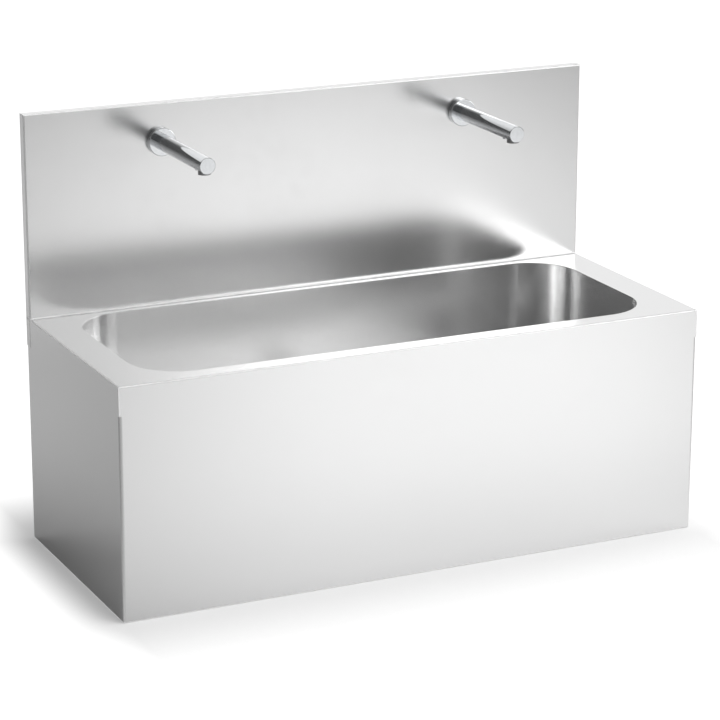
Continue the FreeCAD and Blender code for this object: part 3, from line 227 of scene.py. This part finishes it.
def mould_group():
    """Fine spark-eroded grain of a moulded surface, with a slow unevenness of the wall under it."""
    tree, start, end = new_group(
        "moulded_grain",
        [("Vector", VECTOR, None), ("Scale", VALUE, 1400.0)],
        [("Height", VALUE), ("Cloud", VALUE)],
    )
    fine = noise(tree, start.outputs["Vector"], start.outputs["Scale"], 2.0, 0.6)
    slow = noise(tree, start.outputs["Vector"], 35.0, 2.0, 0.5)
    height = calc(tree, "ADD", fine, calc(tree, "MULTIPLY", slow, 1.5))
    tree.links.new(height, end.inputs["Height"])
    tree.links.new(slow, end.inputs["Cloud"])
    return tree


GROUPS = {
    "brush": brush_group(),
    "cloud": cloud_group(),
    "edge": edge_highlight_group(),
    "dust": dust_group(),
    "spangle": spangle_group(),
    "mould": mould_group(),
}


# ---------------------------------------------------------------- finishes
class Finish:
    """One material under construction: its tree, its shader, object coordinates and the surface normal."""

    def __init__(self, name, **shader_values):
        self.material = bpy.data.materials.new(name)
        self.material.use_nodes = True
        self.tree = self.material.node_tree
        self.shader = self.tree.nodes["Principled BSDF"]
        for key, value in shader_values.items():
            self.shader.inputs[key.replace("_", " ")].default_value = value
        self.place = self.tree.nodes.new("ShaderNodeTexCoord").outputs["Object"]
        self.normal = self.tree.nodes.new("ShaderNodeNewGeometry").outputs["Normal"]

    def use(self, key, **feeds):
        """Places a group, with object coordinates and the normal fed in; returns its outputs."""
        node = self.tree.nodes.new("ShaderNodeGroup")
        node.node_tree = GROUPS[key]
        for socket_name, value in feeds.items():
            node.inputs[socket_name].default_value = value
        self.tree.links.new(self.place, node.inputs["Vector"])
        if "Normal" in node.inputs:
            self.tree.links.new(self.normal, node.inputs["Normal"])
        return node.outputs

    def feed(self, socket_name, source):
        """Links a source to one of the shader's inputs."""
        self.tree.links.new(source, self.shader.inputs[socket_name])

    def bump(self, height, depth):
        """Raises the surface by height times depth."""
        feeds = {"Height": height, "Distance": depth}
        self.feed("Normal", put(self.tree, "ShaderNodeBump", feeds).outputs[0])


WARM = (1.0, 0.97, 0.93)
DUST = grey(0.5, WARM)
DUST_ON_METAL = grey(0.55, WARM)
STEEL_LIGHT, STEEL_DARK = grey(0.83), grey(0.77)
# painted light: the bowl is the body's steel given a lighter colour, so the basin's shaded inside looks
# brighter
BOWL_LIGHT, BOWL_DARK = grey(0.92), grey(0.86)
PAINTED_EDGE_HIGHLIGHT = grey(0.95)
EDGE_REACH = 0.003  # width of the painted edge highlight
EDGE_HIGHLIGHT_METAL = 0.1  # the painted edge highlight is matt, so it stays pale whatever the steel mirrors
LINE_SHARE, BAND_SHARE = 0.85, 0.15  # fine lines and broad bands in the brushing
BRUSH_DEPTH = 0.000001
SPANGLE_DEPTH = 0.00004
HAZE_DEPTH = 0.0000004


def brushed_steel(name, low, high, light=STEEL_LIGHT, dark=STEEL_DARK, roughness=0.21, across=900.0):
    """Brushed stainless sheet: lines in colour, roughness and height, handling marks, and a painted highlight
    along its edges.
    """
    finish = Finish(name, Metallic=1.0)
    tree = finish.tree
    brushing = finish.use("brush", Across=across)
    marks = finish.use("cloud", Size=5.0)["Marks"]
    highlight_mask = finish.use("edge", Low=low, High=high, Reach=EDGE_REACH)["Edge Highlight"]
    fine = calc(tree, "MULTIPLY", brushing["Lines"], LINE_SHARE)
    broad = calc(tree, "MULTIPLY", brushing["Bands"], BAND_SHARE)
    lines = calc(tree, "ADD", fine, broad)
    base = blend_colours(tree, lines, dark, light)
    # pale matt edges: a painted highlight along the sheet's folds and edges
    finish.feed("Base Color", blend_colours(tree, highlight_mask, base, PAINTED_EDGE_HIGHLIGHT))
    rough = ramp_between(tree, lines, 0.2, 0.8, roughness - 0.02, roughness + 0.02)
    rough = calc(tree, "ADD", rough, calc(tree, "MULTIPLY", marks, 0.03))
    finish.feed("Roughness", calc(tree, "ADD", rough, calc(tree, "MULTIPLY", highlight_mask, 0.4), clamp=True))
    finish.feed("Metallic", ramp_between(tree, highlight_mask, 0.0, 1.0, 1.0, EDGE_HIGHLIGHT_METAL))
    finish.bump(brushing["Lines"], BRUSH_DEPTH)
    return finish.material


def galvanised(name, shade, roughness):
    """Zinc-coated sheet: spangle in colour and roughness, dull handling marks, a little dust."""
    finish = Finish(name, Metallic=1.0)
    tree = finish.tree
    crystal = finish.use("spangle")["Shade"]
    marks = finish.use("cloud", Size=9.0)["Marks"]
    dust = finish.use("dust", Amount=0.35)["Dust"]
    dark, light = grey(shade * 0.86, (0.98, 1.0, 1.02)), grey(shade * 1.1, (0.99, 1.0, 1.01))
    base = blend_colours(tree, crystal, dark, light)
    finish.feed("Base Color", blend_colours(tree, dust, base, DUST))
    rough = ramp_between(tree, crystal, 0.0, 1.0, roughness - 0.07, roughness + 0.07)
    rough = calc(tree, "ADD", rough, calc(tree, "MULTIPLY", marks, 0.1))
    finish.feed("Roughness", calc(tree, "ADD", rough, dust, clamp=True))
    finish.bump(crystal, SPANGLE_DEPTH)
    return finish.material


def bare_metal(name, colour, roughness, tarnish, tarnish_share, line_scale, depth, dust_amount=0.15):
    """Turned or drawn metal: tool lines across its axis, patchy tarnish and a little dust."""
    finish = Finish(name, Metallic=1.0)
    tree = finish.tree
    drawn = vector_calc(tree, "MULTIPLY", finish.place, line_scale)
    lines = noise(tree, drawn, 1.0, 3.0, 0.6)
    marks = finish.use("cloud", Size=22.0)["Marks"]
    dust = finish.use("dust", Amount=dust_amount)["Dust"]
    base = blend_colours(tree, calc(tree, "MULTIPLY", marks, tarnish_share), colour, tarnish)
    finish.feed("Base Color", blend_colours(tree, dust, base, DUST_ON_METAL))
    rough = ramp_between(tree, lines, 0.25, 0.75, roughness * 0.8, roughness * 1.25)
    rough = calc(tree, "ADD", rough, calc(tree, "MULTIPLY", marks, roughness * 0.6))
    finish.feed("Roughness", calc(tree, "ADD", rough, dust, clamp=True))
    finish.bump(lines, depth)
    return finish.material


def bright_chrome(name, colour, roughness):
    """Polished chrome: fine polishing haze and a few dried water marks over one bright tone."""
    finish = Finish(name, Metallic=1.0)
    tree = finish.tree
    marks = finish.use("cloud", Size=30.0)["Marks"]
    haze = noise(tree, finish.place, 220.0, 3.0, 0.6)
    dull = tuple(c * 0.9 for c in colour[:3]) + (1.0,)
    finish.feed("Base Color", blend_colours(tree, ramp_between(tree, haze, 0.3, 0.7), dull, colour))
    rough = ramp_between(tree, haze, 0.3, 0.7, roughness * 0.8, roughness * 1.2)
    finish.feed("Roughness", calc(tree, "ADD", rough, calc(tree, "MULTIPLY", marks, 0.05)))
    finish.bump(haze, HAZE_DEPTH)
    return finish.material


def moulded(name, colour, roughness, grain, depth, cloud_share=0.06, dust_amount=0.12):
    """Moulded plastic, rubber or paint: fine grain in height, cloudy colour and roughness, a little dust."""
    finish = Finish(name)
    tree = finish.tree
    mould = finish.use("mould", Scale=grain)
    marks = finish.use("cloud", Size=14.0)["Marks"]
    dust = finish.use("dust", Amount=dust_amount)["Dust"]
    darker = tuple(c * (1.0 - 2.0 * cloud_share) for c in colour[:3]) + (1.0,)
    base = blend_colours(tree, ramp_between(tree, mould["Cloud"], 0.3, 0.7), darker, colour)
    finish.feed("Base Color", blend_colours(tree, dust, base, DUST))
    rough = ramp_between(tree, mould["Cloud"], 0.3, 0.7, roughness - 0.04, roughness + 0.04)
    rough = calc(tree, "ADD", rough, calc(tree, "MULTIPLY", marks, 0.08))
    finish.feed("Roughness", calc(tree, "ADD", rough, calc(tree, "MULTIPLY", dust, 0.5), clamp=True))
    finish.bump(mould["Height"], depth)
    return finish.material


BODY_LOW = tuple(skirt_low)
BODY_HIGH = (WIDTH_HALF, WALL_Y, DECK_Z)
DECK_HIGH = (WIDTH_HALF, SPLASH_Y, DECK_Z)
SPLASH_LOW = (-WIDTH_HALF, SPLASH_Y, DECK_Z)
SPLASH_HIGH = tuple(splash_high)

body_sheet = brushed_steel("brushed_body_sheet", BODY_LOW, BODY_HIGH)
# the bowl's lighter colours are painted light on the basin's inside
bowl_sheet_painted_lighter = brushed_steel("brushed_bowl_sheet_painted_lighter", BODY_LOW, BODY_HIGH, BOWL_LIGHT, BOWL_DARK,
                           roughness=0.23, across=1100.0)
deck_sheet = brushed_steel("brushed_deck_sheet", BODY_LOW, DECK_HIGH)
splash_sheet = brushed_steel("brushed_splash_sheet", SPLASH_LOW, SPLASH_HIGH)

IVORY = (1.0, 1.0, 0.97)
EVEN_LINES = (300.0, 300.0, 300.0)
TURNED_LINES = (200.0, 900.0, 200.0)

FINISHES = {
    "brushed_sheet": body_sheet,
    "galvanised_sheet": galvanised("galvanised_steel", shade=0.62, roughness=0.42),
    "sound_pad": moulded("bitumen_pad", grey(0.05), roughness=0.75, grain=500.0, depth=0.0002,
                         cloud_share=0.15, dust_amount=0.3),
    "zinc_screw": bare_metal("zinc_plated_steel", grey(0.72, (1.0, 0.99, 0.95)), roughness=0.3,
                             tarnish=grey(0.5), tarnish_share=0.3, line_scale=EVEN_LINES, depth=0.00001),
    "polished_waste": bare_metal("polished_steel", grey(0.85), roughness=0.14, tarnish=grey(0.7),
                                 tarnish_share=0.15, line_scale=(60.0, 60.0, 900.0), depth=0.000002,
                                 dust_amount=0.03),
    "seal_rubber": moulded("black_rubber", grey(0.04), roughness=0.6, grain=900.0, depth=0.00003,
                           cloud_share=0.1, dust_amount=0.1),
    "trap_plastic": moulded("white_polypropylene", grey(0.8, IVORY), roughness=0.34, grain=1200.0,
                            depth=0.00002, cloud_share=0.03, dust_amount=0.18),
    "tap_chrome": bright_chrome("bright_chrome", grey(0.76, (0.98, 1.0, 1.02)), roughness=0.05),
    "aerator_plastic": moulded("grey_acetal", grey(0.3), roughness=0.4, grain=1500.0, depth=0.00001),
    "sensor_lens": moulded("dark_lens", grey(0.012), roughness=0.1, grain=300.0, depth=0.000002,
                           cloud_share=0.1, dust_amount=0.0),
    "plain_brass": bare_metal("plain_brass", (0.76, 0.58, 0.29, 1.0), roughness=0.3,
                              tarnish=(0.42, 0.27, 0.12, 1.0), tarnish_share=0.5,
                              line_scale=(250.0, 800.0, 250.0), depth=0.00001),
    "plated_brass": bare_metal("nickel_plated_brass", grey(0.72, (1.02, 1.0, 0.95)), roughness=0.2,
                               tarnish=grey(0.55, (1.0, 0.95, 0.85)), tarnish_share=0.3,
                               line_scale=TURNED_LINES, depth=0.000006),
    "copper_pipe": bare_metal("drawn_copper", (0.86, 0.47, 0.31, 1.0), roughness=0.26,
                              tarnish=(0.36, 0.17, 0.1, 1.0), tarnish_share=0.6,
                              line_scale=(500.0, 500.0, 12.0), depth=0.000005),
    "coil_plastic": moulded("black_glass_filled_nylon", grey(0.03), roughness=0.45, grain=1100.0,
                            depth=0.00003, cloud_share=0.1),
    "plunger_steel": bare_metal("ground_steel", grey(0.6), roughness=0.25, tarnish=grey(0.45),
                                tarnish_share=0.3, line_scale=TURNED_LINES, depth=0.000004),
    "hot_lever": moulded("red_enamel", (0.55, 0.025, 0.02, 1.0), roughness=0.3, grain=400.0,
                         depth=0.00002, cloud_share=0.05),
    "cold_lever": moulded("blue_enamel", (0.02, 0.1, 0.42, 1.0), roughness=0.3, grain=400.0,
                          depth=0.00002, cloud_share=0.05),
    "knob_plastic": moulded("white_knob_plastic", grey(0.75, IVORY), roughness=0.38, grain=1300.0,
                            depth=0.00002, cloud_share=0.03),
    "clip_plastic": moulded("grey_clip_plastic", grey(0.16), roughness=0.5, grain=1000.0, depth=0.00003),
    "box_plastic": moulded("light_grey_housing", grey(0.55), roughness=0.45, grain=900.0, depth=0.00004,
                           cloud_share=0.03),
    "cable_sheath": moulded("black_cable_sheath", grey(0.03), roughness=0.5, grain=800.0, depth=0.00002),
}

OWN_SHEETS = {"splashback": splash_sheet, "basin_bowl": bowl_sheet_painted_lighter, "deck_top": deck_sheet}

node_slots = {row["node"]: row["material_slot"] for row in frame["record"]["subparts"]}
for node_name, node_object in frame["nodes"].items():
    node_object.data.materials.clear()
    node_object.data.materials.append(OWN_SHEETS.get(node_name, FINISHES[node_slots[node_name]]))


# ---------------------------------------------------------------- cables
CABLE_RADIUS = 0.002

# each cable: the node that it stands for, how it lies, its length along the curve, and its route
CABLES = {
    "left_sensor_cable": ("sensor_cables", "hanging", 0.6389, [
        (-0.337, 0.243, 0.758), (-0.337, 0.243, 0.4), (-0.337, 0.237, 0.34),
        (-0.338, 0.237, 0.232), (-0.337, 0.237, 0.194), (-0.25, 0.237, 0.194)]),
    "right_sensor_cable": ("sensor_cables", "hanging", 0.9837, [
        (0.337, 0.243, 0.758), (0.337, 0.243, 0.4), (0.337, 0.237, 0.34),
        (0.337, 0.237, 0.194), (0.19, 0.237, 0.193), (-0.11, 0.237, 0.194)]),
    "left_coil_lead": ("coil_leads", "loose", 0.2481, [
        (-0.325, 0.189, 0.12), (-0.325, 0.189, 0.065), (-0.325, 0.2415, 0.065),
        (-0.214, 0.241, 0.0645), (-0.184, 0.2415, 0.065), (-0.184, 0.2415, 0.1)]),
    "right_coil_lead": ("coil_leads", "loose", 0.6103, [
        (0.325, 0.189, 0.12), (0.325, 0.189, 0.065), (0.325, 0.2415, 0.065), (0.272, 0.2412, 0.0655),
        (-0.136, 0.241, 0.0645), (-0.176, 0.2415, 0.065), (-0.176, 0.2415, 0.1)]),
}


def lay_cable(name, node, lay, length, points):
    """One cable as a round NURBS curve with the route's points as its control points.

    It takes the place of its solid, and both its ends go into the sink.
    """
    curve = bpy.data.curves.new(name, "CURVE")
    curve.dimensions = "3D"
    spline = curve.splines.new("NURBS")
    spline.points.add(len(points) - 1)
    for point, place in zip(spline.points, points):
        point.co = (*place, 1.0)
    spline.order_u = 3
    spline.use_endpoint_u = True
    spline.resolution_u = 24
    curve.bevel_depth = CABLE_RADIUS
    curve.bevel_resolution = 4
    curve.use_fill_caps = True
    curve.materials.append(FINISHES["cable_sheath"])
    piece = bpy.data.objects.new(name, curve)
    bpy.context.scene.collection.objects.link(piece)
    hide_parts(node)
    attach(piece, "sink")


for cable_name, cable_facts in CABLES.items():
    lay_cable(cable_name, *cable_facts)


# ---------------------------------------------------------------- floor
FLOOR_HALF = 30.0
FLOOR_Z = -0.0005
FLOOR_BEFORE, FLOOR_BEHIND = 0.76, 0.82  # its tone before the sink's front and behind it, which sets how deep the painted shadow shows there
FRONT_BLUR = 0.05  # half the width in which one tone turns into the other
AHEAD = (0.427, -0.904, 0.0)  # out to the front and slightly right
ASIDE = (0.904, 0.427, 0.0)  # square to it, to the right
PAINTED_CONTACT_SHADE = 0.86  # painted shadow that metal sees close before the front, in place of the front's own shadow
CONTACT_START_Y = -1.0
CONTACT_END_Y = 0.0
SHADOW_AT_END, SHADOW_AT_FRONT, SHADOW_AT_BACK = 0.12, 0.34, 0.35  # how far the painted shadow reaches on each side, by distance from the sink alone
WHITE_UNDER = 0.22  # share of plain white where the painted shadow is deepest
WHITE_STRENGTH = 1.15


def distance_past(tree, value, edge, reach, away=1.0):
    """How far value lies past an edge, in lengths of reach; away is -1 where past means lower."""
    past = calc(tree, "MULTIPLY", calc(tree, "SUBTRACT", value, edge), away)
    return calc(tree, "DIVIDE", calc(tree, "MAXIMUM", past, 0.0), reach)


def floor_light_painted_for_metal(tree, place, y):
    """What metal mirrors of the floor: a painted pool of light, brightest in a strip from the front right to
    the back left.

    It is dimmer to both sides and close behind the sink, bright again far behind, and a little dimmer
    right before the front, where a painted shadow stands in for the shadow of the sink's front.
    """
    aside = vector_calc(tree, "DOT_PRODUCT", place, ASIDE, out="Value")
    ahead = vector_calc(tree, "DOT_PRODUCT", place, AHEAD, out="Value")
    from_left = ramp_between(tree, aside, -1.3, -0.2, 0.55, 1.0)
    to_right = ramp_between(tree, aside, 0.25, 1.2, 1.0, 0.6)
    painted_light_strip = calc(tree, "MULTIPLY", from_left, to_right)
    near = ramp_between(tree, ahead, -0.8, 0.3, 0.55, 1.0)
    far_behind = ramp_between(tree, ahead, -3.2, -1.6, 1.35, 0.7)
    depth = calc(tree, "MAXIMUM", near, far_behind)
    before = ramp_between(tree, y, CONTACT_START_Y, FRONT_Y, 1.0, PAINTED_CONTACT_SHADE)
    behind = ramp_between(tree, y, FRONT_Y, CONTACT_END_Y, PAINTED_CONTACT_SHADE, 1.0)
    painted_contact_shade = calc(tree, "MAXIMUM", before, behind)
    level = calc(tree, "MULTIPLY", calc(tree, "MULTIPLY", painted_light_strip, depth), painted_contact_shade)
    return blend_colours(tree, level, grey(0.0), grey(1.0))


def make_floor():
    """Flat square sheet under the object, large enough to fill the view.

    It shows the sink's lit shadow within a painted shadow: near the sink the floor is greyer by distance
    alone, fading to white at its own distance on each side. Seen from below it is clear, and under the sink
    it lets light up into the hollow.
    """
    corners = [(-FLOOR_HALF, -FLOOR_HALF, FLOOR_Z), (FLOOR_HALF, -FLOOR_HALF, FLOOR_Z),
               (FLOOR_HALF, FLOOR_HALF, FLOOR_Z), (-FLOOR_HALF, FLOOR_HALF, FLOOR_Z)]
    mesh = bpy.data.meshes.new("studio_floor")
    mesh.from_pydata(corners, [], [(0, 1, 2, 3)])
    floor = bpy.data.objects.new("studio_floor", mesh)
    bpy.context.scene.collection.objects.link(floor)
    material = bpy.data.materials.new("white_studio_floor")
    material.use_nodes = True
    tree = material.node_tree
    tree.nodes.clear()
    out = tree.nodes.new("ShaderNodeOutputMaterial")
    path = tree.nodes.new("ShaderNodeLightPath").outputs
    geometry = tree.nodes.new("ShaderNodeNewGeometry").outputs
    place = geometry["Position"]
    x, y = put(tree, "ShaderNodeSeparateXYZ", {0: place}).outputs[:2]

    tone = ramp_between(tree, y, FRONT_Y - FRONT_BLUR, FRONT_Y + FRONT_BLUR, FLOOR_BEFORE, FLOOR_BEHIND)
    plain = blend_colours(tree, tone, grey(0.0), grey(1.0))
    # metal sees the floor's painted light and shadow instead of its plain tone
    own = blend_colours(tree, path["Is Glossy Ray"], plain, floor_light_painted_for_metal(tree, place, y))
    lit = put(tree, "ShaderNodeBsdfDiffuse", {"Color": own}).outputs[0]
    white = put(tree, "ShaderNodeEmission", {"Color": grey(1.0), "Strength": WHITE_STRENGTH}).outputs[0]

    # painted shadow: the floor is grey close to the sink by distance, and turns white further out
    past_end = distance_past(tree, calc(tree, "ABSOLUTE", x), WIDTH_HALF, SHADOW_AT_END)
    past_front = distance_past(tree, y, FRONT_Y, SHADOW_AT_FRONT, away=-1.0)
    past_back = distance_past(tree, y, WALL_Y, SHADOW_AT_BACK)
    reach = calc(tree, "ADD", calc(tree, "ADD", past_end, past_front), past_back)
    share = ramp_between(tree, reach, 0.0, 1.0, WHITE_UNDER, 1.0)
    share = calc(tree, "MULTIPLY", share, path["Is Camera Ray"])
    shown = put(tree, "ShaderNodeMixShader", {0: share, 1: lit, 2: white}).outputs[0]

    clear = tree.nodes.new("ShaderNodeBsdfTransparent").outputs[0]
    not_camera = calc(tree, "SUBTRACT", 1.0, path["Is Camera Ray"])
    under_sink = calc(tree, "MULTIPLY", calc(tree, "LESS_THAN", reach, 0.001), not_camera)
    open_share = calc(tree, "MAXIMUM", geometry["Backfacing"], under_sink)
    shown = put(tree, "ShaderNodeMixShader", {0: open_share, 1: shown, 2: clear}).outputs[0]
    tree.links.new(shown, out.inputs[0])
    mesh.materials.append(material)


# ---------------------------------------------------------------- light
# what metal shows of the surround: a low plain level, and lobes that are added to it, each with its
# direction, the cosines at which it begins and is full, and its strength
METAL_LEVEL = 0.1
METAL_LOBES = [
    ((0.42, -0.86, 0.29), 0.89, 0.985, 0.78),
    ((0.25, 0.95, 0.15), 0.60, 0.92, 0.9),
    ((-0.957, 0.0, 0.29), 0.94, 0.985, 0.6),
    ((0.96, -0.2, 0.25), 0.93, 0.985, 3.0),
    ((0.0, 0.0, 1.0), 0.96, 0.995, 0.8),
    ((0.0, 0.0, 1.0), 0.5, 0.85, 0.4),
]
MATT_SIDE = (0.95, -0.22, 0.2)  # matt surfaces get most light from here
MATT_LEAST, MATT_MOST = 0.05, 1.0
FROM_BELOW = 0.8  # light from the ground's side on matt surfaces
FROM_BELOW_IN_METAL = 0.6  # share of it that metal shows


def make_world():
    """Soft studio surround: metal and matt surfaces each see their own, and the camera sees plain white."""
    world = bpy.data.worlds.new("soft_studio")
    world.use_nodes = True
    tree = world.node_tree
    tree.nodes.clear()
    out = tree.nodes.new("ShaderNodeOutputWorld")
    sight = tree.nodes.new("ShaderNodeTexCoord").outputs["Generated"]
    path = tree.nodes.new("ShaderNodeLightPath").outputs
    in_metal = METAL_LEVEL
    for direction, begins, full, strength in METAL_LOBES:
        toward = tuple(Vector(direction).normalized())
        turned = vector_calc(tree, "DOT_PRODUCT", sight, toward, out="Value")
        in_metal = calc(tree, "ADD", ramp_between(tree, turned, begins, full, 0.0, strength), in_metal)
    sideways = vector_calc(tree, "DOT_PRODUCT", sight, MATT_SIDE, out="Value")
    from_below = ramp_between(tree, height_of(tree, sight), -0.1, -0.6, 0.0, FROM_BELOW)
    on_matt = ramp_between(tree, sideways, -0.35, 0.85, MATT_LEAST, MATT_MOST)
    on_matt = calc(tree, "ADD", on_matt, from_below)
    in_metal = calc(tree, "ADD", in_metal, calc(tree, "MULTIPLY", from_below, FROM_BELOW_IN_METAL))
    strength = put(tree, "ShaderNodeMix", {0: path["Is Glossy Ray"], 2: on_matt, 3: in_metal}).outputs[0]
    soft = put(tree, "ShaderNodeBackground", {"Color": grey(1.0), "Strength": strength}).outputs[0]
    white = put(tree, "ShaderNodeBackground", {"Color": grey(1.0), "Strength": 1.0}).outputs[0]
    shown = put(tree, "ShaderNodeMixShader", {0: path["Is Camera Ray"], 1: soft, 2: white}).outputs[0]
    tree.links.new(shown, out.inputs[0])
    bpy.context.scene.world = world


def make_softbox(name, place, target, width, height, power, in_metal):
    """Rectangular soft lamp aimed at a point, which metal shows or doesn't."""
    lamp = bpy.data.lights.new(name, "AREA")
    lamp.shape = "RECTANGLE"
    lamp.size = width
    lamp.size_y = height
    lamp.energy = power
    thing = bpy.data.objects.new(name, lamp)
    bpy.context.scene.collection.objects.link(thing)
    thing.location = place
    thing.visible_glossy = in_metal
    thing.visible_camera = False
    thing.rotation_mode = "QUATERNION"
    thing.rotation_quaternion = (Vector(target) - Vector(place)).to_track_quat("-Z", "Y")


# ---------------------------------------------------------------- camera, solved from the photograph's edges
CAMERA_PLACE = (-2.2678, -4.7770, 1.9553)
CAMERA_AZIMUTH = math.radians(-25.32)
CAMERA_ELEVATION = math.radians(16.829)
CAMERA_ROLL = math.radians(0.086)
CAMERA_LENS = 142.05
SENSOR_WIDTH = 36.0
CLIP_START, CLIP_END = 0.1, 200.0


def make_camera():
    """Camera that looks back along its azimuth and elevation, then rolled about its line of sight."""
    level = math.cos(CAMERA_ELEVATION)
    x, y = math.sin(CAMERA_AZIMUTH) * level, -math.cos(CAMERA_AZIMUTH) * level
    back = Vector((x, y, math.sin(CAMERA_ELEVATION)))
    right = (-back).cross(Vector((0, 0, 1))).normalized()
    up = right.cross(-back)
    c, s = math.cos(CAMERA_ROLL), math.sin(CAMERA_ROLL)
    across, upward = right * c + up * s, up * c - right * s
    data = bpy.data.cameras.new("studio_camera")
    data.sensor_width = SENSOR_WIDTH
    data.lens = CAMERA_LENS
    data.clip_start, data.clip_end = CLIP_START, CLIP_END
    camera = bpy.data.objects.new("studio_camera", data)
    bpy.context.scene.collection.objects.link(camera)
    turn = Matrix((across, upward, back)).transposed()
    camera.matrix_world = Matrix.Translation(CAMERA_PLACE) @ turn.to_4x4()
    bpy.context.scene.camera = camera


make_floor()
make_world()
make_softbox("overhead_softbox", place=(0.8, -1.4, 3.8), target=(0.6, -1.2, 0.0), width=3.0, height=3.0,
             power=105.0, in_metal=False)
make_softbox("front_right_panel", place=(2.2, -3.0, 1.65), target=(0.2, 0.0, 0.5), width=2.0, height=1.5,
             power=14.5, in_metal=True)
make_camera()
bpy.context.scene.view_settings.view_transform = "Standard"
